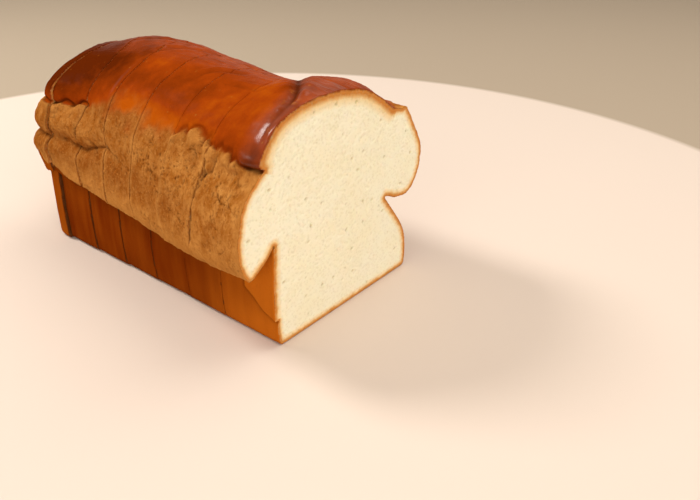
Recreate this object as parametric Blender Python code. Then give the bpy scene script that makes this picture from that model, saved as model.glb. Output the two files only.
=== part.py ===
"""A sliced brioche loaf, baked in a straight-sided pan and cut across into slices that still stand together.

The loaf lies along X. The freshly cut face looks along +X, the baked heel is at -X, and the bottom crust
rests on the plane Z = 0. The dough rose over the pan's rim, so a wide lobe overhangs each side wall and
the end wall. Lengths are in millimetres, and MM turns them into Blender's metres.
"""

import math

import bmesh
import bpy
from mathutils import Vector

MM = 0.001

# Slice thicknesses along X, and the gap that the knife leaves between two slices.
FRONT_SLICE = 38.5
MIDDLE_SLICE = 28.0
MIDDLE_SLICES = 5
HEEL = 17.0
KNIFE_GAP = 0.5

# The heel was baked against the pan's end: its corners are rounded there, and above the pan's rim the
# dough bulged past the end wall.
HEEL_ROUNDING = 12.0
HEEL_SHOULDER_DROP = 6.0
HEEL_BULGE = 7.0
HEEL_DOME_RECESS = 6.0
PAN_RIM = 44.0
LOBE_TOP = 84.0
END_WALL_CUTS = (20, 32, 42, 46, 50, 54, 58, 64, 70, 76, 80, 84, 88, 94)

# The pan gives the loaf its flat bottom and its side walls.
BASE_WIDTH = 103.0
BOTTOM_RADIUS = 3.0
BOTTOM_STEPS = 3

# The outline's features as (Y, Z) from the middle of the bottom crust, each at seven distances behind
# the cut face. The near side is -Y and the far side is +Y.
STATIONS = (0.0, 18.0, 42.0, 90.0, 130.0, 152.0, 178.0)
NEAR_WALL = ((-52.5, 24), (-52.5, 24), (-52.5, 23), (-52.2, 21), (-51.8, 20), (-51.5, 20), (-51, 20))
NEAR_CREASE = ((-50.5, 56), (-50.5, 54), (-50.5, 51), (-50.5, 49), (-50, 50), (-49.7, 51), (-49.5, 52))
NEAR_LIP_INSIDE = ((-58.5, 48.5), (-58, 46), (-57, 43.5), (-55, 44), (-53, 45), (-52, 46), (-51, 47.5))
NEAR_LIP = ((-67, 44), (-66, 41.5), (-64, 40), (-60, 41.5), (-55.5, 42), (-54, 43), (-52.5, 45))
NEAR_BULGE = ((-72.5, 57), (-70.5, 55), (-68, 54), (-61, 54), (-56, 54), (-54, 55), (-53.5, 62))
NEAR_SHOULDER = ((-68, 79), (-65.5, 76), (-63, 72), (-57, 72), (-52, 73), (-50.5, 76), (-50, 76))
NEAR_STEP = ((-55.5, 91.5), (-56.5, 86), (-56, 82), (-53, 85), (-49, 86), (-40.5, 87), (-45, 85))
DOME_LOW = ((-55.5, 98.5), (-54.5, 94), (-51, 91), (-46, 95), (-42.5, 97), (-39.5, 93.5), (-43, 94))
DOME_SIDE = ((-43, 111), (-42, 109), (-38, 105), (-32, 108), (-29, 108), (-27, 105), (-30, 103))
CROWN = ((-18, 116), (-14, 117.5), (-11, 113), (-7, 116), (-4, 118.5), (-4, 117), (-3, 111))
DOME_FAR = ((14, 111.5), (21, 113), (17, 106), (18, 109.5), (19, 113.5), (19, 112), (18, 106))
FLAP_NOTCH = ((38, 96), (41.5, 99), (39, 96), (39, 97), (38, 98), (37.5, 96.5), (36, 93))
FLAP_TIP = ((48.5, 94.5), (50, 95.5), (48.5, 92), (48, 92), (46, 91), (45, 90), (43, 88))
FAR_BULGE = ((63.5, 67), (63, 67), (62, 67), (61, 66), (57, 65), (55.5, 65), (53, 66))
FAR_LIP = ((53, 45.5), (53, 45.5), (52.5, 46), (52, 46), (50.8, 47), (50, 47.5), (49, 48))
FAR_CREASE = ((30.5, 50.5), (33, 50), (37, 50), (41, 50), (44, 50), (45, 50), (46, 50))
FAR_WALL = ((49.5, 24), (50, 23), (50.5, 21), (51, 20), (51.5, 20), (51, 20), (50, 20))

# The outline runs from the near wall over the top to the far wall. Each run is a smooth curve through
# its features with so many steps between two of them, and two runs meet in a sharp crease.
RUNS = (
    (("near_bottom", NEAR_WALL, NEAR_CREASE), 4),
    ((NEAR_CREASE, NEAR_LIP_INSIDE, NEAR_LIP, NEAR_BULGE, NEAR_SHOULDER, NEAR_STEP), 4),
    ((NEAR_STEP, DOME_LOW, DOME_SIDE, CROWN, DOME_FAR, FLAP_NOTCH), 4),
    ((FLAP_NOTCH, FLAP_TIP), 2),
    ((FLAP_TIP, FAR_BULGE, FAR_LIP, FAR_CREASE), 5),
    ((FAR_CREASE, FAR_WALL, "far_bottom"), 4),
)
RINGS_PER_SLICE = 4

# How far each slice has slid sideways along Y since the loaf was cut.
SLIDES = {"slice_3": 0.3, "slice_5": -0.5, "slice_6": -1.2, "heel_slice": -3.0}


def clear_scene():
    for obj in list(bpy.data.objects):
        bpy.data.objects.remove(obj, do_unlink=True)


def smooth_point(points, index, share):
    """The point a share of the way from points[index] to the next, on a smooth curve through them all."""
    start, end = points[index], points[index + 1]
    start_slope = (end - points[max(index - 1, 0)]) / 2
    end_slope = (points[min(index + 2, len(points) - 1)] - start) / 2
    blend = share * share * (3 - 2 * share)
    return (
        start * (1 - blend)
        + end * blend
        + start_slope * (share * (1 - share) ** 2)
        + end_slope * (share * share * (share - 1))
    )


def feature_at(feature, depth):
    """One feature of the outline at a distance behind the cut face."""
    points = [Vector(pair) for pair in feature]
    if depth >= STATIONS[-1]:
        return points[-1]
    index = max(i for i in range(len(STATIONS) - 1) if STATIONS[i] <= depth)
    share = (depth - STATIONS[index]) / (STATIONS[index + 1] - STATIONS[index])
    return smooth_point(points, index, share)


def bottom_corner(side):
    """The rounded bottom corner, from the bottom face to the foot of the side wall."""
    centre = Vector((side * (BASE_WIDTH / 2 - BOTTOM_RADIUS), BOTTOM_RADIUS))
    turns = [math.radians(90) * step / BOTTOM_STEPS for step in range(BOTTOM_STEPS + 1)]
    return [centre + BOTTOM_RADIUS * Vector((side * math.sin(t), -math.cos(t))) for t in turns]


def outline(depth):
    """The loaf's outline at a distance behind the cut face, as (Y, Z) points over the top to the far side."""
    near_corner = bottom_corner(-1)
    far_corner = bottom_corner(1)
    ends = {"near_bottom": near_corner[-1], "far_bottom": far_corner[-1]}
    points = near_corner[:-1]
    for features, steps in RUNS:
        run = [ends[f] if isinstance(f, str) else feature_at(f, depth) for f in features]
        for index in range(len(run) - 1):
            points += [smooth_point(run, index, step / steps) for step in range(steps)]
    return points + far_corner[::-1]


def drawn_in(points, share):
    """The outline a share of the way through the heel's rounded end."""
    inset = HEEL_ROUNDING * (1 - math.sqrt(1 - share * share))
    drop = inset * 0.5 + HEEL_SHOULDER_DROP * share * share
    narrower = 1 - inset / (BASE_WIDTH / 2)
    top = feature_at(CROWN, STATIONS[-1]).y
    return [Vector((p.x * narrower, p.y - drop * min(1.0, p.y / top))) for p in points]


def ease(value, start, end):
    """0 below start, 1 above end, and a smooth rise between them."""
    share = min(max((value - start) / (end - start), 0.0), 1.0)
    return share * share * (3 - 2 * share)


def bulge_past_pan(height):
    """How much farther than the pan's end wall the heel reaches, at a height; the dome stays behind it."""
    lobe = ease(height, PAN_RIM, PAN_RIM + 12) * (1 - ease(height, LOBE_TOP - 8, LOBE_TOP + 2))
    return HEEL_BULGE * lobe - HEEL_DOME_RECESS * ease(height, LOBE_TOP - 4, LOBE_TOP + 4)


def slice_mesh(name, front, back, loaf_length):
    """One slice between two distances behind the cut face, as a mesh about its own middle."""
    middle = (front + back) / 2
    heel_start = loaf_length - HEEL_ROUNDING
    depths = [front + (back - front) * i / (RINGS_PER_SLICE - 1) for i in range(RINGS_PER_SLICE)]
    if name == "heel_slice":
        depths = [front, heel_start]
        depths += [heel_start + HEEL_ROUNDING * math.sin(math.radians(a)) for a in (22, 42, 60, 75)]
    mesh = bmesh.new()
    rings = []
    for depth in depths:
        share = max(0.0, depth - heel_start) / HEEL_ROUNDING
        points = drawn_in(outline(depth), share)
        rings.append([mesh.verts.new(Vector((middle - depth, p.x, p.y)) * MM) for p in points])
    count = len(rings[0])
    for ring, after in zip(rings, rings[1:]):
        for i in range(count):
            j = (i + 1) % count
            mesh.faces.new((ring[i], ring[j], after[j], after[i]))
    mesh.faces.new(rings[0])
    mesh.faces.new(reversed(rings[-1]))
    if name == "heel_slice":
        bulge_end_wall(mesh, middle, heel_start)
    bmesh.ops.recalc_face_normals(mesh, faces=mesh.faces)
    data = bpy.data.meshes.new(name)
    mesh.to_mesh(data)
    mesh.free()
    return data, middle


def bulge_end_wall(mesh, middle, heel_start):
    """Shapes the heel's flat end into the pan's end wall, the lobe above it and the dome set behind."""
    end_face = min(mesh.faces, key=lambda face: face.calc_center_median().x)
    end_x = end_face.calc_center_median().x
    for height in END_WALL_CUTS:
        strips = [f for f in mesh.faces if abs(f.calc_center_median().x - end_x) < 1e-6]
        edges = {e for f in strips for e in f.edges}
        verts = {v for f in strips for v in f.verts}
        bmesh.ops.bisect_plane(
            mesh,
            geom=strips + list(edges) + list(verts),
            plane_co=(0, 0, height * MM),
            plane_no=(0, 0, 1),
        )
    for vert in mesh.verts:
        depth = middle - vert.co.x / MM
        share = max(0.0, depth - heel_start) / HEEL_ROUNDING
        vert.co.x -= share * bulge_past_pan(vert.co.z / MM) * MM


def crust_material(name):
    material = bpy.data.materials.new(name)
    material.use_nodes = True
    shader = material.node_tree.nodes["Principled BSDF"]
    shader.inputs["Base Color"].default_value = (0.42, 0.17, 0.045, 1)
    shader.inputs["Roughness"].default_value = 0.5
    return material


def stand_on_origin(objects):
    """Moves the whole loaf so that its bounding box is centred on the origin, with its bottom at Z = 0."""
    bpy.context.view_layer.update()
    corners = [obj.matrix_world @ Vector(c) for obj in objects for c in obj.bound_box]
    low = Vector([min(c[k] for c in corners) for k in range(3)])
    high = Vector([max(c[k] for c in corners) for k in range(3)])
    move = Vector((-(low.x + high.x) / 2, -(low.y + high.y) / 2, -low.z))
    for obj in objects:
        obj.location += move


def main():
    clear_scene()
    loaf = bpy.data.collections.new("brioche_loaf")
    bpy.context.scene.collection.children.link(loaf)
    names = ["front_slice"] + [f"slice_{n + 2}" for n in range(MIDDLE_SLICES)] + ["heel_slice"]
    thicknesses = [FRONT_SLICE] + [MIDDLE_SLICE] * MIDDLE_SLICES + [HEEL]
    loaf_length = sum(thicknesses)
    objects = []
    front = 0.0
    for name, thickness in zip(names, thicknesses):
        back = front + thickness - (0 if name == "heel_slice" else KNIFE_GAP)
        data, middle = slice_mesh(name, front, back, loaf_length)
        data.materials.append(crust_material(name + "_crust"))
        obj = bpy.data.objects.new(name, data)
        loaf.objects.link(obj)
        obj.location = Vector((-middle, SLIDES.get(name, 0.0), 0)) * MM
        objects.append(obj)
        front += thickness
    stand_on_origin(objects)


main()
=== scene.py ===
import math

import bmesh
import bpy
import numpy as np
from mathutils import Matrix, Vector
from mathutils.kdtree import KDTree


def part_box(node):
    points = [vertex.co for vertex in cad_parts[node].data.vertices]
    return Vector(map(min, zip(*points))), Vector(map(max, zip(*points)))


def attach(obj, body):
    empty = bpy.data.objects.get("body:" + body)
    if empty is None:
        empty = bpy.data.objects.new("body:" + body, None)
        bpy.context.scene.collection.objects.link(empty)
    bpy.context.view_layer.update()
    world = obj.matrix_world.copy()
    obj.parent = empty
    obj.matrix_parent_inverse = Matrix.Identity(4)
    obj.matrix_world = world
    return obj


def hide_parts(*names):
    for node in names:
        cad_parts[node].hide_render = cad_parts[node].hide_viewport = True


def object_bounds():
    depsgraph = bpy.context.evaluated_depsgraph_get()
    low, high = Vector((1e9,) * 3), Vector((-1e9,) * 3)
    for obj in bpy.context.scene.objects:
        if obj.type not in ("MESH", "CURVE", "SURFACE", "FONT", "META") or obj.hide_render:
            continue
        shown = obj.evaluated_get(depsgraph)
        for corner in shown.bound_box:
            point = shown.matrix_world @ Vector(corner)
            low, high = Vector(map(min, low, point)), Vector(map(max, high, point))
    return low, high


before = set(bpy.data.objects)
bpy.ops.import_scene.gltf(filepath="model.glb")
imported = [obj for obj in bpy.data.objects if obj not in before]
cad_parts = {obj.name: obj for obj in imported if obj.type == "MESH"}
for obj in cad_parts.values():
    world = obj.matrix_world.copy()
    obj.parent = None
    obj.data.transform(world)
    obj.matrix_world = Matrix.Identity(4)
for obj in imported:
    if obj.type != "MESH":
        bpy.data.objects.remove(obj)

cad_low, cad_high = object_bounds()

# ---------------------------------------------------------------------------------------------------------
# Front slice: the thick end piece behind the open cut face. It is enriched wheat dough, baked in a straight
# pan and egg-glazed on top, so a shiny brown dome sits over torn, matte side lobes and smooth pan walls.
# A saw-toothed knife cut it square across, which leaves a soft crumb face inside a thin crust.
# ---------------------------------------------------------------------------------------------------------

MM = 0.001
CUT_FACE_X = cad_high.x / MM
BASE_MIDDLE_Y = cad_low.y / MM + 72.5

# Spacing of a finished slice's vertices in millimetres.
FINE_GRAIN = 0.56

# A cut face's mask tells how far in from the crust a place is, up to RIM_REACH. Where another slice hides the
# face, nothing deeper than HIDDEN_DEPTH can be seen, and it is closed off flat.
RIM_REACH = 10.0
HIDDEN_DEPTH = 8.0

# A vertex is on a cut face if it points along the loaf by CUT_FACING and lies within CUT_SKIN of the slice's
# end. Round a cut, the crust's edge flares a little towards the next slice, and the crumb beside it follows the
# crust's relief less and less over CRUMB_FOLLOWS.
CUT_FACING = 0.75
CUT_SKIN = 0.7
EDGE_FLARE = 0.18
FLARE_WIDTH = 1.2
CRUMB_FOLLOWS = 3.5

# Where the glazed dome ends on the near side: distance behind the cut face, height, and how gradual it is. On
# the far side it ends at one height.
GLAZE_EDGE = (
    (0, 92.0, 0.5), (10, 91.2, 0.5), (17, 92.6, 0.6), (28, 94.0, 0.8), (44, 94.6, 0.8), (60, 95.0, 1.2),
    (68, 92.0, 5.0), (90, 92.0, 8.0), (117, 93.0, 8.0), (132, 92.0, 6.0), (148, 87.5, 1.0), (162, 85.8, 0.6),
    (178, 85.0, 0.6), (205, 84.0, 1.0),
)
FAR_GLAZE_EDGE = 96.5

# Where the lobes end and the pan's walls begin. On the near side: the lobe's lower lip by distance behind the
# cut face, the top of the undercut behind it, and the wall's place. Then the far lobe's underside and its lowest
# point, and the pan's rim at the heel.
LOBE_LIP = ((0, 44.0), (18, 41.5), (42, 40.0), (90, 41.5), (130, 42.0), (152, 43.0), (178, 45.0), (205, 46.0))
UNDERCUT_TOP = 56.5
NEAR_WALL = -53.1
FAR_UNDERSIDE = 51.0
FAR_LOBE_BOTTOM = 43.0
HEEL_PAN_RIM = 47.0


def hashed(cells, seed):
    """An even random number from 0 to 1 for each whole-numbered cell."""
    x, y, z = (cells[:, k].astype(np.int64).astype(np.uint32) for k in range(3))
    h = x * np.uint32(374761393) + y * np.uint32(668265263) + z * np.uint32(3266489917)
    h = h + np.uint32(seed * 1013904223 % 4294967296)
    h = (h ^ (h >> np.uint32(13))) * np.uint32(1274126177)
    h = (h ^ (h >> np.uint32(16))) * np.uint32(2246822519)
    return (h ^ (h >> np.uint32(15))).astype(np.float64) / 4294967296.0


def waves(points, size, seed=0):
    """Smooth random waves from about -1 to 1, of a given size in millimetres along X, Y and Z."""
    p = points / np.array(size, dtype=float)
    cell = np.floor(p)
    f = p - cell
    blend = f * f * f * (f * (f * 6 - 15) + 10)
    total = np.zeros(len(p))
    for dx in (0, 1):
        for dy in (0, 1):
            for dz in (0, 1):
                corner = cell + (dx, dy, dz)
                toward = f - (dx, dy, dz)
                turn = hashed(corner, seed) * 2 * math.pi
                tilt = hashed(corner, seed + 71) * 2 - 1
                flat = np.sqrt(1 - tilt * tilt)
                slope = toward[:, 0] * flat * np.cos(turn) + toward[:, 1] * flat * np.sin(turn)
                slope = slope + toward[:, 2] * tilt
                share = np.ones(len(p))
                for k, d in enumerate((dx, dy, dz)):
                    share = share * (blend[:, k] if d else 1 - blend[:, k])
                total += slope * share
    return total * 1.6


def layered(points, size, layers, seed=0):
    """Waves with finer and finer ones on top."""
    size = np.array(size, dtype=float)
    return sum(waves(points, size / 2**k, seed + 7 * k) / 2**k for k in range(layers))


def bubbles(points, size, seed=0):
    """Distance to the nearest of scattered bubbles, in bubble spacings, and that bubble's random number."""
    p = points / np.array(size, dtype=float)
    cell = np.floor(p)
    nearest = np.full(len(p), 9.0)
    number = np.zeros(len(p))
    for dx in (-1, 0, 1):
        for dy in (-1, 0, 1):
            for dz in (-1, 0, 1):
                other = cell + (dx, dy, dz)
                spot = np.stack([hashed(other, seed + k) for k in (1, 2, 3)], axis=1)
                away = np.linalg.norm(other + spot - p, axis=1)
                closer = away < nearest
                nearest = np.where(closer, away, nearest)
                number = np.where(closer, spot[:, 0], number)
    return nearest, number


def ramp(value, start, end):
    """0 before start, 1 after end, and a smooth rise between them."""
    share = np.clip((value - start) / (end - start), 0, 1)
    return share * share * (3 - 2 * share)


def read(table, column, place):
    """A column of a table, read at places along its first column."""
    return np.interp(place, [row[0] for row in table], [row[column] for row in table])


def distance_to_path(points, path):
    """Distance from points to a path of straight stretches, and how far along it they are from 0 to 1."""
    path = np.array(path, dtype=float)
    best = np.full(len(points), 1e9)
    share = np.zeros(len(points))
    for i in range(len(path) - 1):
        step = path[i + 1] - path[i]
        t = np.clip(((points - path[i]) @ step) / (step @ step), 0, 1)
        away = np.linalg.norm(points - path[i] - t[:, None] * step, axis=1)
        closer = away < best
        best = np.where(closer, away, best)
        share = np.where(closer, (i + t) / (len(path) - 1), share)
    return best, share


# Folds and wrinkles of the risen dough. The fold across the dome is given behind the cut face, from the
# base's middle and up; the dome's wrinkles leave out the height, and those of the near side the distance
# from the middle. Wrinkles carry their depth and width. The last gaps are where slices have parted on the
# near lobe, with their depth, and the knobs are two small lumps on the dome's front edge.
CROSSING_FOLD = (
    (49, 30, 102), (43, 16, 107), (34, 4, 112), (25, -5, 116), (19, -12, 117), (13, -19, 117), (9, -25, 116),
    (6.5, -30, 115), (5.2, -35, 113.5), (4.6, -40, 111.5), (4.4, -45, 109), (4.6, -50, 104), (5.4, -53, 99),
    (7, -55, 94),
)
DOME_WRINKLES = (
    (((78, -34), (76, -19), (71, -13), (64, -10), (56, -7)), 0.9, 1.4),
    (((131, -24), (125, -15), (115, -5), (103, 3), (92, 5)), 0.7, 1.6),
    (((92, 12), (80, 10), (66, 6), (54, 3), (44, 1)), 0.9, 1.6),
    (((150, -6), (134, 2), (118, 8), (100, 12)), 0.6, 1.6),
    (((60, -22), (50, -20), (40, -21), (30, -24)), 0.45, 1.8),
    (((104, 20), (88, 22), (70, 18), (58, 20)), 0.6, 1.8),
)
LOBE_CREASE = (
    (206, 68), (178, 67.5), (164, 67.8), (156, 67.4), (145, 66.3), (137, 69), (122, 73), (116, 71.5),
    (108, 69.5), (98, 68),
)
LOBE_GROOVES = (
    (((37.8, 86), (35.9, 78), (38, 75.5), (38.5, 71), (37, 60), (38, 52)), 1.0, 1.3),
    (((30, 91), (32, 84), (36.5, 81.5)), 0.8, 1.0),
    (((24, 80), (18, 76), (12, 77), (5, 75)), 0.5, 0.8),
    (((139, 72.5), (134, 70), (128, 65.5)), 1.1, 0.9),
)
WALL_FOLD = ((21, 40), (20, 27.5), (14, 24), (7.8, 18.5), (-1, 14.5))
LAST_GAPS = ((150.5, 1.3), (178.5, 0.9))
KNOBS = ((6.5, -21, 116.5), (7, -36, 113))


def bake_crust(p, n, heel_end):
    """Height of the crust's relief in mm; then its zones, darkness, painted shade in its crevices, shine and
    pale flakes.

    p is the place behind the cut face, from the base's middle and up; n is the surface's direction.
    """
    x, y, z = p[:, 0], p[:, 1], p[:, 2]
    near = y < 0

    # Zones: the glaze was brushed on before the last rise tore the sides open above the pan's rim.
    ragged = waves(p, (8, 8, 8), 3) * 1.5 + waves(p, (2.8, 4, 4), 4) * 0.4
    far_side = ramp(y, -24, 24)
    edge = read(GLAZE_EDGE, 1, x) * (1 - far_side) + FAR_GLAZE_EDGE * far_side
    soft = read(GLAZE_EDGE, 2, x) * (1 - far_side) + 1.0 * far_side
    shred = near * ramp(x, 4, 12) * ramp(70 - x, 0, 8)
    tongue = np.abs(np.sin(x * 0.33 + 2.6 * waves(p, (13, 16, 16), 5) + 0.4))
    ragged = ragged * (0.6 + soft * 0.5 + 0.3 * shred) - shred * (1.7 * tongue - 1.0)
    dome = ramp(z + ragged - edge, -soft, soft)
    lip = read(LOBE_LIP, 1, x)
    below_lip = z < lip + 0.5
    in_crease = (z < UNDERCUT_TOP) & (y > NEAR_WALL) & (n[:, 2] > -0.25)
    near_wall = below_lip & (y > NEAR_WALL - 1.4) | in_crease
    far_wall = (z < FAR_UNDERSIDE) & (n[:, 2] > -0.1) | (z < FAR_LOBE_BOTTOM)
    wall = np.where(near, near_wall, far_wall).astype(float)
    wall = np.where(heel_end > 0.5, (z < HEEL_PAN_RIM).astype(float), wall)
    wall = wall * (1 - dome)
    lobe = (1 - dome) * (1 - wall)

    # The glazed dome: broad swells, fine lengthwise wrinkles near the ridge, and the folds of the dough, with
    # painted shade in the folds and wrinkles.
    swell = layered(p, (34, 22, 22), 3, 11) * 0.55
    ridge = 1 - np.abs(waves(p, (46, 6.5, 9), 23))
    ridge2 = 1 - np.abs(waves(p, (30, 4.0, 6), 29))
    top = ramp(z, 100, 112) * ramp(y, -34, -8)
    height = dome * (swell + top * (0.38 * (ridge**6 - 0.4) + 0.20 * (ridge2**6 - 0.4)))
    height += dome * layered(p, (7, 5, 5), 2, 31) * 0.12
    crease_shade = np.zeros(len(p))
    fold, share = distance_to_path(p, CROSSING_FOLD)
    wide = np.interp(share, (0, 0.25, 0.45, 0.7, 1), (4.5, 3.2, 1.9, 1.6, 1.5))
    deep = np.interp(share, (0, 0.1, 0.3, 0.45, 0.6, 1), (0.0, 0.9, 1.4, 1.4, 0.4, 0.12))
    height -= dome * deep * np.exp(-((fold / wide) ** 2))
    height += dome * 0.5 * deep * np.exp(-(((fold - 2.2 * wide) / (1.2 * wide)) ** 2))
    crease_shade += dome * np.clip(deep, 0, 1) * np.exp(-((fold / (wide * 0.45)) ** 2)) * 0.9
    for path, deep, wide in DOME_WRINKLES:
        away, share = distance_to_path(p[:, :2], path)
        fade = np.clip(np.sin(share * math.pi), 0, 1) ** 0.5 * top
        away = away + waves(p, (9, 9, 9), 41) * 0.5
        height -= dome * deep * fade * np.exp(-((away / wide) ** 2))
        height += dome * 0.5 * deep * fade * np.exp(-(((away - 2.4 * wide) / wide) ** 2))
        crease_shade += dome * 0.35 * fade * np.exp(-((away / (wide * 0.6)) ** 2))

    # The torn lobes: drawn-out fibres, burst bubbles and cracks, lumpy along the torn edge; painted shade
    # darkens the bubbles, the cracks and the hollows by the edge.
    around = np.stack([x, y * 0.6, z], axis=1)
    lumps = layered(p, (15, 12, 12), 3, 51) * 0.6
    fibres = waves(around, (1.5, 3.4, 4.2), 61) * 0.16 + waves(around, (2.6, 4.5, 5.5), 63) * 0.20
    fibres += waves(around, (1.0, 1.6, 1.9), 65) * 0.10
    height += lobe * (lumps + fibres)
    band = np.exp(-(((z - 76 - waves(p, (30, 30, 30), 69) * 6) / 5) ** 2))
    band = band * ramp(x, 2, 10) * ramp(112 - x, 0, 20)
    patch = ramp(waves(p, (16, 10, 9), 67), 0.15, 0.5)
    clustered = np.clip(band + patch * 0.7, 0, 1)
    far, number = bubbles(around, (1.5, 2.0, 2.5), 73)
    burst = ramp(0.34 - far * (0.6 + number), 0, 0.12) * clustered
    height -= lobe * burst * 0.5
    crease_shade += lobe * burst * 0.55
    far, _ = bubbles(around, (1.3, 1.6, 1.9), 79)
    height -= lobe * ramp(0.36 - far, 0, 0.2) * 0.16
    crackle = np.abs(waves(p, (7, 5, 5), 83) + waves(p, (2.4, 2.4, 2.4), 85) * 0.45)
    cracked = np.clip(ramp(waves(p, (20, 14, 14), 87), 0.05, 0.35) + band * 0.8, 0, 1)
    crack = (1 - ramp(crackle, 0, 0.05)) * cracked
    height -= lobe * crack * 0.4
    crease_shade += lobe * crack * 0.6
    shelf = edge - z - ragged
    torn_edge = shred * np.exp(-(((shelf - 2.6) / 2.3) ** 2))
    torn_edge = torn_edge * np.clip(0.15 + 0.95 * tongue + 0.6 * waves(p, (4.4, 9, 9), 91), 0, 2)
    height += lobe * torn_edge * 1.9
    behind = shred * np.exp(-(((shelf + 0.9) / 1.0) ** 2))
    height -= behind * 0.9
    crease_shade += behind * 0.30
    under = shred * np.exp(-(((shelf - 6.2 - waves(p, (9, 9, 9), 93) * 1.6) / 0.6) ** 2))
    under = under * ramp(waves(p, (8, 9, 9), 94), -0.1, 0.3)
    height -= lobe * under * 0.5
    crease_shade += lobe * under * 0.6

    # Under the dome's front edge the dough parted in a slit, darkened with painted shade; by the heel a
    # scalloped lobe laps it, with painted shade in the groove above the lap.
    slit = near * np.exp(-(((z - edge) / 0.9) ** 2)) * ramp(15 - x, 0, 8)
    height -= slit * 1.5
    height += near * dome * ramp(22 - x, 0, 12) * np.exp(-(((z - edge - 3.2) / 2.2) ** 2)) * 0.8
    crease_shade += slit * 1.2
    scallop = near * ramp(x, 146, 152) * (heel_end < 0.5)
    lap = edge - 1.6 + 1.3 * np.sin(x * 0.42)
    height += scallop * lobe * np.exp(-(((z - lap) / 2.4) ** 2)) * 1.2
    groove = scallop * np.exp(-(((z - lap - 2.6) / 0.9) ** 2))
    height -= groove * 1.0
    crease_shade += groove * 0.9

    # A lengthwise crease runs along the near lobe from the heel and dies out by the middle slices; painted shade
    # darkens its deepest line.
    side = p[:, (0, 2)]
    away, share = distance_to_path(side, LOBE_CREASE)
    deep = np.interp(share, (0, 0.45, 0.6, 0.75, 0.9, 1), (3.0, 2.8, 1.6, 0.8, 0.6, 0.0))
    deep = deep * ramp(-y, 0, 26)
    height -= lobe * deep * np.exp(-((away / 3.6) ** 2))
    height += lobe * 0.35 * deep * np.exp(-(((away - 8) / 5) ** 2))
    core = np.exp(-((away / (0.5 + 0.22 * deep)) ** 2)) * np.clip(deep, 0, 1)
    broken = ramp(waves(p, (8, 20, 20), 95), -0.6, -0.1)
    height -= lobe * near * core * broken * 0.8
    crease_shade += lobe * near * core * broken * 0.6

    # The lobe's grooves and the last gaps between slices get painted shade along their bottoms.
    for path, deep, wide in LOBE_GROOVES:
        away, share = distance_to_path(side, path)
        away = away + waves(p, (5, 5, 5), 97) * 0.5
        height -= lobe * near * deep * np.exp(-((away / wide) ** 2))
        height += lobe * near * 0.4 * deep * np.exp(-(((away - 2.4 * wide) / wide) ** 2))
        crease_shade += lobe * near * 0.55 * np.exp(-((away / (0.4 * wide)) ** 2))
    for seam, deep in LAST_GAPS:
        gap = near * lobe * np.exp(-(((x - seam) / 1.5) ** 2)) * ramp(z, 60, 67)
        height -= gap * deep
        height += near * lobe * 0.7 * deep * np.exp(-(((np.abs(x - seam) - 3.4) / 2.0) ** 2)) * ramp(z, 60, 67)
        crease_shade += near * lobe * 0.8 * np.exp(-(((x - seam) / 0.6) ** 2)) * ramp(z, 60, 67)

    # The pan walls: smooth, faintly streaked, with a skin folded over near the cut face and painted shade along
    # the fold.
    height += wall * (layered(p, (26, 26, 26), 2, 101) * 0.32 + waves(p, (2.2, 3, 18), 103) * 0.05)
    fold_z = np.interp(x, (-1, 7.8, 14, 20, 21), (14.5, 18.5, 24, 27.5, 44))
    lapped = near * wall * ramp(z - fold_z, -0.3, 0.3) * (x < 21)
    height += lapped * 1.2
    away, share = distance_to_path(side, WALL_FOLD)
    below = np.where(z < fold_z, 1.5, 0.6)
    line = near * wall * np.exp(-((away / below) ** 2))
    height -= line * 1.0 * (z < fold_z)
    crease_shade += line * 0.8
    for knob in KNOBS:
        height += dome * 0.8 * np.exp(-(np.linalg.norm(p - knob, axis=1) / 2.6) ** 2)

    # The glaze cracked and flaked beside the fold, where it runs down behind the cut face.
    scale, number = bubbles(p + waves(p, (3, 3, 3), 155)[:, None], (3.4, 2.2, 1.8), 151)
    scale = ramp(0.52 - scale * (0.6 + 0.8 * number), 0, 0.2)
    flaky = dome * near * np.exp(-(((fold - 1.6) / 1.9) ** 2)) * ramp(-y, 17, 25) * ramp(z, 105, 109)
    flaky = flaky * scale * ramp(waves(p, (6, 6, 5), 153), -0.05, 0.35)
    height += flaky * 0.35

    # Shading: the heel and the ridge baked darker, the middle of the near side stayed golden.
    dark = 0.34 + 0.50 * ramp(x, 95, 180) * ramp(z, 84, 98)
    dark += 0.22 * near * np.exp(-(((z - 107) / 5) ** 2)) * ramp(x, 45, 75)
    dark += 0.11 * waves(p, (17, 12, 12), 131) + 0.07 * waves(p, (6, 5, 5), 133)
    dark += 0.30 * np.exp(-((fold / 5.5) ** 2))
    golden = near * ramp(106 - z, 0, 13) * np.exp(-(((x - 105) / 44) ** 2)) * dome
    front_low = near * dome * ramp(44 - x, 0, 22) * ramp(106 - z, 0, 16)
    dark = dark - golden * 0.42 + front_low * 0.30 + 0.25 * heel_end * dome
    rusty = 0.36 * ramp(74 - z, 0, 7) * ramp(z - lip, 4, 22) + 0.25 * ramp(z, 83, 90)
    rusty = np.clip(rusty - 0.10 + 0.42 * ramp(x, 10, 90) + 0.26 * waves(p, (13, 9, 9), 137), 0, 1)
    # The pan wall is darker away from the cut face, lighter low down near it, and lighter on the heel slice's
    # near side.
    wall_darkness = 0.30 + 0.50 * ramp(x, 5, 75) - 0.30 * ramp(26 - z, 0, 22) * ramp(70 - x, 0, 60)
    wall_darkness += 0.10 * waves(p, (12, 12, 24), 139) - 0.28 * ramp(-y, 36, 44) * ramp(x, 177.5, 179.5)
    dark = dome * dark + lobe * rusty + wall * wall_darkness - 0.45 * lapped
    # Painted shade: the wall darkens towards the floor, and the near lobe darkens where it faces down.
    crease_shade += wall * ramp(3.2 - z, 0, 3.2) * 0.35
    crease_shade += np.where(near, lobe * ramp(-n[:, 2], 0.25, 0.9) * 0.04, 0)

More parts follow.
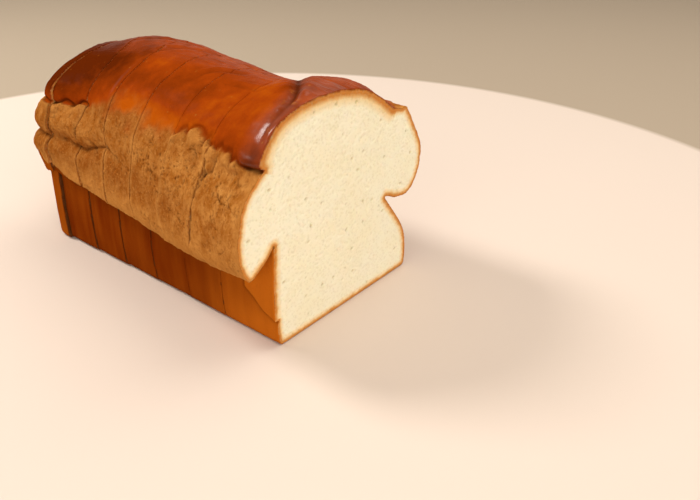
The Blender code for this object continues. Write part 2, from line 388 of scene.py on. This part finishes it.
    # The glaze shines most by the cut face and along the ridge; flakes of torn dough are pale.
    shine = 0.01 + ramp(18 - x, 0, 12) * near + 0.16 * ramp(y, -18, 2)
    shine += 0.5 * near * np.exp(-(((x - 125.5) / 0.9) ** 2) - ((z - 103) / 6) ** 2)
    shine = dome * np.clip(shine, 0, 1)
    lap_edge = scallop * np.exp(-(((z - lap) / 2.0) ** 2))
    flake = lobe * (0.95 * near * ramp(lip + 18 - z, 0, 16) + torn_edge * 0.7 + lap_edge * 0.6)
    flake = np.clip(np.clip(flake, 0, 1) + flaky, 0, 1)
    return height, (dome, lobe, wall), np.clip(dark, 0, 1), np.clip(crease_shade, 0, 1), shine, flake


def select_only(obj):
    """Makes one object the selected and active one."""
    bpy.ops.object.select_all(action="DESELECT")
    obj.select_set(True)
    bpy.context.view_layer.objects.active = obj


def copy_of_solid(node):
    """A merged copy of a CAD solid, with its four-sided faces back and its sharp edges held."""
    piece = bpy.data.objects.new("crust_and_crumb_" + node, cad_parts[node].data.copy())
    bpy.context.scene.collection.objects.link(piece)
    piece.data.materials.clear()
    select_only(piece)
    bpy.ops.object.mode_set(mode="EDIT")
    bpy.ops.mesh.select_all(action="SELECT")
    bpy.ops.mesh.remove_doubles(threshold=0.00002)
    bpy.ops.mesh.tris_convert_to_quads(face_threshold=math.radians(25), shape_threshold=math.radians(60))
    bpy.ops.object.mode_set(mode="OBJECT")
    shell = bmesh.new()
    shell.from_mesh(piece.data)
    crease = shell.edges.layers.float.new("crease_edge")
    for edge in shell.edges:
        if len(edge.link_faces) == 2 and edge.calc_face_angle() > math.radians(38):
            edge[crease] = 1.0
    shell.to_mesh(piece.data)
    shell.free()
    return piece


def apply(piece, kind, **settings):
    """Adds a modifier with its settings and applies it at once."""
    modifier = piece.modifiers.new(kind.lower(), kind)
    for name, value in settings.items():
        setattr(modifier, name, value)
    select_only(piece)
    bpy.ops.object.modifier_apply(modifier=modifier.name)


def read_points(mesh):
    """Every vertex's place in millimetres and its direction."""
    points = np.empty(len(mesh.vertices) * 3)
    mesh.vertices.foreach_get("co", points)
    directions = np.empty(len(mesh.vertices) * 3)
    mesh.vertex_normals.foreach_get("vector", directions)
    return points.reshape(-1, 3) / MM, directions.reshape(-1, 3)


def write_mask(mesh, name, red, green, blue):
    """Three varying numbers per vertex, kept for the materials."""
    layer = mesh.color_attributes.new(name, "FLOAT_COLOR", "POINT")
    values = np.stack([red, green, blue, np.ones(len(red))], axis=1)
    layer.data.foreach_set("color", values.ravel())


def crumb_relief(p, open_face):
    """How deep the crumb's pores go, in mm, on a cut face, and how much painted shade darkens them."""
    flat = p * (0.0, 1.0, 1.0)
    far, number = bubbles(flat + (0.5, 0, 0), (1.0, 1.9, 1.5), 111)
    pores = ramp(0.42 - far * (0.5 + 1.1 * number), 0, 0.25)
    far, number = bubbles(flat + (0.5, 0, 0), (1.0, 8.5, 6.5), 117)
    holes = ramp(0.16 - far * (0.5 + number * 1.2), 0, 0.07)
    drag = waves(flat, (1, 26, 1.6), 121) * 0.05 + layered(flat, (1, 14, 14), 3, 123) * 0.16
    sponge = waves(flat, (1, 1.9, 1.6), 127) * 0.09 + waves(flat, (1, 3.2, 2.6), 129) * 0.08
    depth = (pores * 0.32 + holes * 0.7) * (1.0 if open_face else 0.4) + drag + sponge
    return depth, np.clip(pores * 0.36 + holes, 0, 1)


def bake_slice(node, slid, open_front=False, baked_end=False):
    """Makes one finished slice round its CAD solid: crust, crumb and their masks of colour and painted shade."""
    low, high = (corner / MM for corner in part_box(node))
    piece = copy_of_solid(node)
    apply(piece, "SUBSURF", levels=2, render_levels=2, use_limit_surface=False)
    apply(piece, "REMESH", mode="VOXEL", voxel_size=FINE_GRAIN * MM)
    mesh = piece.data
    place, n = read_points(mesh)
    p = place.copy()
    p[:, 0] = CUT_FACE_X - place[:, 0]
    p[:, 1] = place[:, 1] - BASE_MIDDLE_Y - slid
    faces_front = (n[:, 0] > CUT_FACING) & (place[:, 0] > high.x - CUT_SKIN)
    faces_back = (n[:, 0] < -CUT_FACING) & (place[:, 0] < low.x + CUT_SKIN) & (not baked_end)
    cut = faces_front | faces_back
    heel_end = ramp(-n[:, 0], 0.35, 0.8) * ramp(low.x + 16 - place[:, 0], 0, 6) * baked_end
    out = n.copy()
    out[:, 0] *= heel_end
    out /= np.maximum(np.linalg.norm(out, axis=1), 0.05)[:, None]

    # Each crumb vertex follows the crust next to it, less and less towards the middle.
    crust = np.flatnonzero(~cut)
    tree = KDTree(len(crust))
    for i, v in enumerate(crust):
        tree.insert(place[v], i)
    tree.balance()
    beside = np.arange(len(place))
    rim = np.zeros(len(place))
    for v in np.flatnonzero(cut):
        _, i, away = tree.find(place[v])
        beside[v] = crust[i]
        rim[v] = away
    height, (dome, lobe, wall), dark, crease_shade, shine, flake = bake_crust(p, n, heel_end)
    to_front = high.x - place[:, 0]
    to_back = np.full(len(place), np.inf) if baked_end else place[:, 0] - low.x
    to_cut = np.minimum(to_front, to_back)
    lip = np.exp(-((to_cut / 1.1) ** 2))
    height = height + lip * 0.30 * lobe
    follow = np.exp(-((rim / CRUMB_FOLLOWS) ** 2))
    lift = (height[beside] * follow)[:, None] * out[beside]
    moved = place + lift
    # The crust stands a little proud of the softer crumb, and the knife rounds its edge.
    pore, pore_shade = crumb_relief(p, open_front)
    inward = ramp(rim, 0.8, 2.2) * (pore + 0.25 * ramp(rim, 0.8, 3.0))
    inward = inward * (1.0 if open_front else ramp(7.0 - rim, 0, 3))
    moved[:, 0] -= np.where(faces_front, inward, 0.0)
    moved[:, 0] += np.where(faces_back, inward * 0.6, 0.0)
    if not open_front:
        moved[:, 0] += EDGE_FLARE * ramp(FLARE_WIDTH - to_front, 0, 1)
    if not baked_end:
        moved[:, 0] -= EDGE_FLARE * ramp(FLARE_WIDTH - to_back, 0, 1)
    low_line = ramp(p[:, 2], 0.2, 5.0)
    moved[:, 2] = np.maximum(np.where(p[:, 2] < 5, place[:, 2] + lift[:, 2] * low_line, moved[:, 2]), 0.0)
    mesh.vertices.foreach_set("co", (moved * MM).ravel())
    write_mask(mesh, "bake_zone", dome[beside], lobe[beside], wall[beside])
    # Crumb faces hidden between slices are darkened with painted shade, most under the walls, and their brown
    # rim is drawn wider as painted shade too; elsewhere the crust's painted crease shade is kept.
    in_light = faces_front & open_front
    rim_depth_by_light = np.where(in_light, 1.0, 0.35 + 0.5 * dome[beside])
    shade = np.where(in_light, 0.0, (wall * 0.85 + lobe * 0.15)[beside])
    shade = np.where(cut, shade, crease_shade)
    write_mask(mesh, "bake_tone_and_shade", dark[beside], shade, np.clip(rim * rim_depth_by_light / RIM_REACH, 0, 1))
    # The crumb's pores carry painted shade, kept here for its material.
    write_mask(mesh, "crumb_pore_shade", pore_shade * cut, cut.astype(float), np.zeros(len(rim)))
    pale = np.exp(-((to_cut / (3.0 if open_front else 1.3)) ** 2)) * lobe
    pale = np.clip(pale * 0.8 + flake, 0, 1) * ~cut
    write_mask(mesh, "crust_shine", shine, pale, dome * ramp(p[:, 1], -20, 0))

    # The crumb is its own material on the cut faces; where two slices meet it needs no detail.
    mesh.materials.append(CRUST)
    mesh.materials.append(CRUMB)
    corners = np.empty(len(mesh.polygons) * 4, dtype=np.int32)
    mesh.polygons.foreach_get("vertices", corners)
    corners = corners.reshape(-1, 4)
    mesh.polygons.foreach_set("material_index", cut[corners].all(axis=1).astype(np.int32))
    hidden = (rim > HIDDEN_DEPTH) & (faces_back | (faces_front & (not open_front)))
    mesh.polygons.foreach_set("select", hidden[corners].all(axis=1))
    mesh.update()
    select_only(piece)
    bpy.ops.object.mode_set(mode="EDIT")
    bpy.ops.mesh.select_mode(type="FACE")
    bpy.ops.mesh.delete(type="FACE")
    bpy.ops.mesh.select_mode(type="EDGE")
    bpy.ops.mesh.select_non_manifold(extend=False)
    bpy.ops.mesh.fill_holes(sides=0)
    bpy.ops.mesh.select_all(action="SELECT")
    bpy.ops.mesh.quads_convert_to_tris()
    bpy.ops.object.mode_set(mode="OBJECT")
    bpy.ops.object.shade_smooth()
    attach(piece, "root")
    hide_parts(node)
    return piece


def node_of(tree, kind, inputs=None, **settings):
    """Adds a shader node, with values or links given by input name or number."""
    made = tree.nodes.new(kind)
    for name, value in settings.items():
        setattr(made, name, value)
    for name, value in (inputs or {}).items():
        if isinstance(value, bpy.types.NodeSocket):
            tree.links.new(value, made.inputs[name])
        else:
            made.inputs[name].default_value = value
    return made


def mixed(tree, share, first, second, kind="MIX"):
    """One colour laid over another by a share."""
    made = node_of(tree, "ShaderNodeMix", data_type="RGBA", blend_type=kind)
    for number, value in ((0, share), (6, first), (7, second)):
        if isinstance(value, bpy.types.NodeSocket):
            tree.links.new(value, made.inputs[number])
        else:
            made.inputs[number].default_value = value
    return made.outputs[2]


def sum_of(tree, first, second, kind="ADD", clamp=False):
    """Two values added, or joined by another sum."""
    made = node_of(tree, "ShaderNodeMath", {0: first, 1: second}, operation=kind, use_clamp=clamp)
    return made.outputs[0]


def between(tree, value, start, end, low=0.0, high=1.0):
    """A value rescaled from one span to another, held at the ends."""
    made = node_of(tree, "ShaderNodeMapRange", {0: value, 1: start, 2: end, 3: low, 4: high})
    return made.outputs[0]


def grain_group():
    """Random speckle of two sizes, stretched as asked: its coarse and fine parts and a bump height."""
    group = bpy.data.node_groups.new("dough_grain", "ShaderNodeTree")
    for name, value in (("Coarse per metre", 60.0), ("Fine per metre", 420.0)):
        socket = group.interface.new_socket(name, in_out="INPUT", socket_type="NodeSocketFloat")
        socket.default_value = value
    group.interface.new_socket("Stretch", in_out="INPUT", socket_type="NodeSocketVector")
    for name in ("Coarse", "Fine", "Height"):
        group.interface.new_socket(name, in_out="OUTPUT", socket_type="NodeSocketFloat")
    inside = node_of(group, "NodeGroupInput")
    place = node_of(group, "ShaderNodeTexCoord").outputs["Object"]
    stretch = inside.outputs["Stretch"]
    drawn = node_of(group, "ShaderNodeVectorMath", {0: place, 1: stretch}, operation="MULTIPLY").outputs[0]
    size = inside.outputs["Coarse per metre"]
    looks = {"Vector": drawn, "Scale": size, "Detail": 4.0, "Roughness": 0.6}
    coarse = node_of(group, "ShaderNodeTexNoise", looks)
    size = inside.outputs["Fine per metre"]
    looks = {"Vector": drawn, "Scale": size, "Detail": 5.0, "Roughness": 0.65}
    fine = node_of(group, "ShaderNodeTexNoise", looks)
    height = sum_of(group, coarse.outputs["Fac"], fine.outputs["Fac"])
    done = node_of(group, "NodeGroupOutput")
    group.links.new(coarse.outputs["Fac"], done.inputs["Coarse"])
    group.links.new(fine.outputs["Fac"], done.inputs["Fine"])
    group.links.new(height, done.inputs["Height"])
    return group


GRAIN = grain_group()


def grain(tree, coarse, fine, stretch=(1, 1, 1)):
    """Dough grain with so many coarse and fine specks to the metre."""
    made = node_of(tree, "ShaderNodeGroup", node_tree=GRAIN)
    made.inputs["Coarse per metre"].default_value = coarse
    made.inputs["Fine per metre"].default_value = fine
    made.inputs["Stretch"].default_value = stretch
    return made


def masks(tree, name):
    """The three numbers that write_mask kept under a name."""
    made = node_of(tree, "ShaderNodeAttribute", attribute_name=name, attribute_type="GEOMETRY")
    parts = node_of(tree, "ShaderNodeSeparateColor", {0: made.outputs["Color"]})
    return parts.outputs[0], parts.outputs[1], parts.outputs[2]


# Colours of the bake, from pale torn dough to the darkest glaze, with a dark brown and a dim crumb colour
# painted in as shade.
GLAZE_GOLD = (0.38, 0.070, 0.0022, 1)
GLAZE_AMBER = (0.28, 0.039, 0.0020, 1)
GLAZE_MAHOGANY = (0.092, 0.0125, 0.0008, 1)
TORN_PALE = (0.54, 0.232, 0.054, 1)
TORN_TAN = (0.345, 0.110, 0.0145, 1)
TORN_BROWN = (0.225, 0.055, 0.0055, 1)
PAN_LIGHT = (0.48, 0.120, 0.008, 1)
PAN_DARK = (0.135, 0.016, 0.0008, 1)
SHADE_BROWN = (0.050, 0.008, 0.001, 1)
CRUMB_CREAM = (0.94, 0.88, 0.68, 1)
CRUMB_YELLOW = (0.90, 0.76, 0.45, 1)
CRUMB_HALO = (0.86, 0.58, 0.25, 1)
CRUMB_TOASTED = (0.60, 0.23, 0.045, 1)
CRUMB_RIM = (0.24, 0.045, 0.005, 1)
CRUMB_PORE_SHADE = (0.55, 0.44, 0.23, 1)


def crust_material():
    """Glaze on the dome, torn dough on the lobes and pan-baked crust on the walls, darkened with painted shade
    in creases and hollows.
    """
    material = bpy.data.materials.new("baked_crust")
    material.use_nodes = True
    tree = material.node_tree
    shader = tree.nodes["Principled BSDF"]
    dome, lobe, wall = masks(tree, "bake_zone")
    dark, crease_shade, _ = masks(tree, "bake_tone_and_shade")
    shine, pale, sheen = masks(tree, "crust_shine")
    broad = grain(tree, 26.0, 150.0)
    speck = grain(tree, 110.0, 700.0)
    fibre = grain(tree, 150.0, 520.0, (1.25, 1.0, 0.85))
    streak = grain(tree, 60.0, 330.0, (2.6, 1.0, 0.22))

    # Glaze: amber, golden where thin and mahogany where it caught the heat, with pale pinprick blisters.
    heat = sum_of(tree, dark, between(tree, broad.outputs["Coarse"], 0.3, 0.7, -0.16, 0.16))
    heat = sum_of(tree, heat, between(tree, speck.outputs["Coarse"], 0.3, 0.7, -0.13, 0.13))
    glaze = mixed(tree, between(tree, heat, 0.0, 0.32), GLAZE_GOLD, GLAZE_AMBER)
    glaze = mixed(tree, between(tree, heat, 0.30, 0.95), glaze, GLAZE_MAHOGANY)
    place = node_of(tree, "ShaderNodeTexCoord").outputs["Object"]
    blister = node_of(tree, "ShaderNodeTexVoronoi", {"Vector": place, "Scale": 210.0})
    pinprick = between(tree, blister.outputs["Distance"], 0.05, 0.16, 0.75, 0.0)
    rare = between(tree, broad.outputs["Fine"], 0.49, 0.60)
    glaze = mixed(tree, sum_of(tree, pinprick, rare, "MULTIPLY"), glaze, TORN_TAN)
    glaze = mixed(tree, sum_of(tree, pale, 0.60, "MULTIPLY"), glaze, TORN_TAN)

    # Torn dough: tan with redder blotches, paler on its fibres and browner in its hollows.
    torn = mixed(tree, between(tree, fibre.outputs["Coarse"], 0.36, 0.64), TORN_TAN, TORN_PALE)
    torn = mixed(tree, between(tree, dark, 0.0, 1.0, 0.0, 0.85), torn, TORN_BROWN)
    torn = mixed(tree, between(tree, fibre.outputs["Fine"], 0.51, 0.66, 0.0, 0.62), torn, TORN_BROWN)
    torn = mixed(tree, between(tree, speck.outputs["Fine"], 0.36, 0.47, 0.45, 0.0), torn, TORN_PALE)
    torn = mixed(tree, sum_of(tree, pale, 0.65, "MULTIPLY"), torn, TORN_PALE)

    # Pan wall: even brown with upright streaks.
    scorch = sum_of(tree, dark, between(tree, streak.outputs["Coarse"], 0.3, 0.7, -0.07, 0.07))
    pan = mixed(tree, between(tree, scorch, 0.0, 0.95), PAN_LIGHT, PAN_DARK)

    colour = mixed(tree, dome, torn, glaze)
    colour = mixed(tree, wall, colour, pan)
    # Painted shade darkens the creases, cracks and hollows towards a dark brown.
    colour = mixed(tree, sum_of(tree, crease_shade, 0.85, "MULTIPLY", clamp=True), colour, SHADE_BROWN)
    tree.links.new(colour, shader.inputs["Base Color"])

    rough = between(tree, dome, 0.0, 1.0, 0.72, 0.36)
    rough = sum_of(tree, rough, between(tree, speck.outputs["Coarse"], 0.3, 0.7, -0.06, 0.08))
    tree.links.new(rough, shader.inputs["Roughness"])
    gloss = between(tree, shine, 0.0, 1.0, 0.0, 0.50)
    gloss = sum_of(tree, gloss, between(tree, crease_shade, 0, 1, 1, 0), "MULTIPLY")
    tree.links.new(gloss, shader.inputs["Coat Weight"])
    shader.inputs["Coat Roughness"].default_value = 0.25
    shader.inputs["Coat IOR"].default_value = 1.4
    tree.links.new(sum_of(tree, sheen, 0.022, "MULTIPLY"), shader.inputs["Specular IOR Level"])

    flat = sum_of(tree, lobe, fibre.outputs["Height"], "MULTIPLY")
    smooth = sum_of(tree, between(tree, lobe, 0, 1, 0.26, 0.0), speck.outputs["Height"], "MULTIPLY")
    upright = sum_of(tree, sum_of(tree, wall, 0.25, "MULTIPLY"), streak.outputs["Height"], "MULTIPLY")
    relief = sum_of(tree, sum_of(tree, flat, smooth), upright)
    bump = node_of(tree, "ShaderNodeBump", {"Height": relief, "Distance": 0.0012, "Strength": 1.0})
    tree.links.new(bump.outputs[0], shader.inputs["Normal"])
    return material


def crumb_material():
    """Crumb of the cut faces, from its baked rim to its pale middle, with painted shade in its pores and between
    slices.
    """
    material = bpy.data.materials.new("soft_crumb")
    material.use_nodes = True
    tree = material.node_tree
    shader = tree.nodes["Principled BSDF"]
    dome, _, _ = masks(tree, "bake_zone")
    _, gap_shade, rim = masks(tree, "bake_tone_and_shade")
    pores, _, _ = masks(tree, "crumb_pore_shade")
    fine = grain(tree, 300.0, 1300.0)
    broad = grain(tree, 45.0, 200.0)

    # From the crust inwards: a brown rim, a golden halo that is widest under the dome, then cream crumb.
    depth = sum_of(tree, rim, between(tree, fine.outputs["Coarse"], 0.3, 0.7, -0.035, 0.035))
    depth = sum_of(tree, depth, between(tree, broad.outputs["Coarse"], 0.3, 0.7, -0.03, 0.03))
    reach = between(tree, dome, 0.0, 1.0, 0.66, 1.32)
    depth = node_of(tree, "ShaderNodeMath", {0: depth, 1: reach}, operation="DIVIDE").outputs[0]
    cream = mixed(tree, between(tree, broad.outputs["Coarse"], 0.35, 0.7, 0.0, 0.30), CRUMB_CREAM, CRUMB_YELLOW)
    colour = mixed(tree, between(tree, depth, 0.26, 0.66), CRUMB_HALO, cream)
    colour = mixed(tree, between(tree, depth, 0.18, 0.36), CRUMB_TOASTED, colour)
    brown = mixed(tree, dome, TORN_TAN, CRUMB_RIM)
    colour = mixed(tree, between(tree, depth, 0.03, 0.10), brown, colour)
    # Painted shade darkens the pores.
    colour = mixed(tree, sum_of(tree, pores, 0.60, "MULTIPLY"), colour, CRUMB_PORE_SHADE)
    # Between slices the crumb is darkened with painted shade.
    colour = mixed(tree, gap_shade, colour, SHADE_BROWN)
    tree.links.new(colour, shader.inputs["Base Color"])
    shader.inputs["Roughness"].default_value = 0.85
    shader.inputs["Specular IOR Level"].default_value = 0.1
    shader.inputs["Subsurface Weight"].default_value = 0.18
    shader.inputs["Subsurface Radius"].default_value = (1.0, 0.6, 0.3)
    shader.inputs["Subsurface Scale"].default_value = 0.003
    bump = node_of(
        tree, "ShaderNodeBump",
        {"Height": fine.outputs["Height"], "Distance": 0.0007, "Strength": 0.5},
    )
    tree.links.new(bump.outputs[0], shader.inputs["Normal"])
    return material


CRUST = crust_material()
CRUMB = crumb_material()

bake_slice("front_slice", slid=0.0, open_front=True)

# ---------------------------------------------------------------------------------------------------------
# Middle slices: five slices of one thickness from the same loaf, cut square across and left standing where
# the knife parted them. The dome, the lobes and the pan walls run on from slice to slice, but some slices have
# slid a little to one side since, so a thread of crumb shows along the edge of their crust.
# ---------------------------------------------------------------------------------------------------------

for node, slid in (("slice_2", 0.0), ("slice_3", 0.3), ("slice_4", 0.0), ("slice_5", -0.5), ("slice_6", -1.2)):
    bake_slice(node, slid)

# ---------------------------------------------------------------------------------------------------------
# Heel slice: the end of the loaf, baked against the pan's end wall. Its corners are round, its dough bulged
# over the pan's rim, and it has crust all over but for the face that the knife parted from the next slice.
# ---------------------------------------------------------------------------------------------------------

bake_slice("heel_slice", slid=-3.0, baked_end=True)

# ---------------------------------------------------------------------------------------------------------
# Floor: a plain pale cloth on a beige floor. The camera looks down over the near front corner of the loaf's
# base, and the cloth ends a little way behind the loaf.
# ---------------------------------------------------------------------------------------------------------

VIEW_AZIMUTH = math.radians(39.2)
VIEW_ELEVATION = math.radians(29.0)
FRONT_CORNER = Vector((CUT_FACE_X, BASE_MIDDLE_Y - 51.5, 0)) * MM
EYE = FRONT_CORNER + Vector((0.1985, -0.1898, 0.2044))
back = Vector(
    (
        math.sin(VIEW_AZIMUTH) * math.cos(VIEW_ELEVATION),
        -math.cos(VIEW_AZIMUTH) * math.cos(VIEW_ELEVATION),
        math.sin(VIEW_ELEVATION),
    )
)
camera = bpy.data.objects.new("camera", bpy.data.cameras.new("camera"))
bpy.context.scene.collection.objects.link(camera)
camera.location = EYE
camera.rotation_mode = "QUATERNION"
camera.rotation_quaternion = back.to_track_quat("Z", "Y")
camera.data.sensor_width = 36.0
camera.data.lens = 36.0
camera.data.clip_start = 0.005
bpy.context.scene.camera = camera

CLOTH_RADIUS = 0.40
CLOTH_COLOUR = (0.68, 0.575, 0.50, 1)
FLOOR_COLOUR = (0.39, 0.315, 0.235, 1)
bpy.ops.mesh.primitive_plane_add(size=6.0, location=(0, 0, 0))
floor = bpy.context.active_object
floor.name = "floor"
paint = bpy.data.materials.new("pale_cloth")
paint.use_nodes = True
tree = paint.node_tree
place = node_of(tree, "ShaderNodeTexCoord").outputs["Object"]
reach = node_of(tree, "ShaderNodeVectorMath", {0: place}, operation="LENGTH").outputs["Value"]
beyond = between(tree, reach, CLOTH_RADIUS - 0.004, CLOTH_RADIUS + 0.004)
cloth = mixed(tree, beyond, CLOTH_COLOUR, FLOOR_COLOUR)
tree.links.new(cloth, tree.nodes["Principled BSDF"].inputs["Base Color"])
tree.nodes["Principled BSDF"].inputs["Roughness"].default_value = 0.8
tree.nodes["Principled BSDF"].inputs["Specular IOR Level"].default_value = 0.2
floor.data.materials.append(paint)

# ---------------------------------------------------------------------------------------------------------
# Light: warm and soft all round, as in a bright room: a broad light above and behind, a window to the left
# that draws the small highlight on the glaze, and two fills, on the open crumb and on the near side.
# ---------------------------------------------------------------------------------------------------------

AIM = Vector((0.0, 0.0, 0.06))


def soft_light(name, direction, distance, size, power, colour):
    """A round area light that looks at the loaf from a direction."""
    lamp = bpy.data.objects.new(name, bpy.data.lights.new(name, "AREA"))
    bpy.context.scene.collection.objects.link(lamp)
    lamp.location = AIM + Vector(direction).normalized() * distance
    lamp.rotation_mode = "QUATERNION"
    lamp.rotation_quaternion = (lamp.location - AIM).to_track_quat("Z", "Y")
    lamp.data.shape = "DISK"
    lamp.data.size = size
    lamp.data.energy = power
    lamp.data.color = colour


soft_light("broad_light", (0.25, 0.55, 1.0), 1.3, 1.1, 8.0, (1.0, 0.94, 0.86))
soft_light("window_light", (-0.66, -0.25, 0.72), 1.3, 0.42, 14.0, (1.0, 0.96, 0.90))
soft_light("front_fill", (1.0, -0.35, 0.55), 1.4, 0.9, 8.0, (1.0, 0.95, 0.88))
soft_light("near_fill", (0.35, -1.0, 0.30), 1.4, 1.0, 7.5, (1.0, 0.94, 0.86))
world = bpy.data.worlds.new("warm_room")
bpy.context.scene.world = world
world.use_nodes = True
tree = world.node_tree
toward = node_of(tree, "ShaderNodeTexCoord").outputs["Generated"]
facing = node_of(tree, "ShaderNodeVectorMath", {0: toward, 1: (-0.45, 0.80, 0.30)}, operation="DOT_PRODUCT")
level = between(tree, facing.outputs["Value"], -0.5, 0.8, 0.16, 0.62)
tree.links.new(level, tree.nodes["Background"].inputs["Strength"])
tree.nodes["Background"].inputs["Color"].default_value = (1.0, 0.90, 0.78, 1)
bpy.context.scene.view_settings.view_transform = "Standard"
